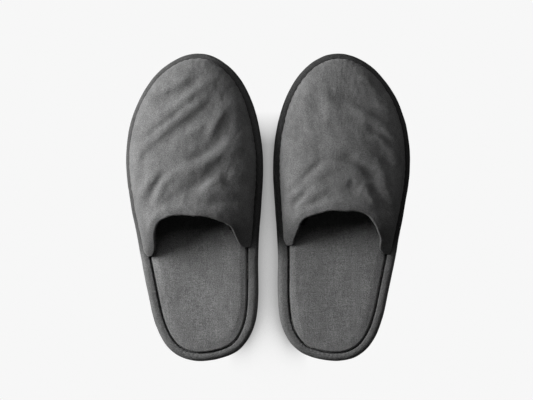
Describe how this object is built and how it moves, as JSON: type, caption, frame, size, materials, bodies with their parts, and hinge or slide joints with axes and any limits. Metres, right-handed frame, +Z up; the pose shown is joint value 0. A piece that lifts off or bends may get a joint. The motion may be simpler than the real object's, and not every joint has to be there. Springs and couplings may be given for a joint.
{
  "type": "spa slippers",
  "caption": "Pair of closed-toe, open-heel spa slippers in dark grey velour on soft padded soles, standing side by side.",
  "frame": {"origin": "centre of the pair's footprint, on the floor, midway between the two slippers", "axes": "+Y towards the toes, +X towards the wearer's right, +Z up"},
  "size_m": [0.2642, 0.286, 0.06],
  "materials": {
    "velour": "short-nap velour",
    "lining": "brushed knit",
    "foam": "open-cell foam",
    "board": "fibre board",
    "sole_rubber": "matte foam rubber",
    "thread": "spun thread",
    "label": "woven tape"
  },
  "bodies": {
    "left_slipper": {"left_outsole": "sole_rubber", "left_insole_board": "board", "left_midsole": "foam", "left_sole_wrap": "velour", "left_seam_thread": "thread", "left_footbed_sponge": "foam", "left_footbed_cover": "velour", "left_upper_shell": "velour", "left_upper_padding": "foam", "left_throat_tape": "label", "left_upper_lining": "lining", "left_care_label": "label"},
    "right_slipper": {"right_outsole": "sole_rubber", "right_insole_board": "board", "right_midsole": "foam", "right_sole_wrap": "velour", "right_seam_thread": "thread", "right_footbed_sponge": "foam", "right_footbed_cover": "velour", "right_upper_shell": "velour", "right_upper_padding": "foam", "right_throat_tape": "label", "right_upper_lining": "lining", "right_care_label": "label"}
  },
  "joints": [
    {"name": "right_slipper_lift", "type": "slide", "parent": "left_slipper", "child": "right_slipper", "axis": [0, 0, 1], "range_m": [0, 0.12]}
  ]
}
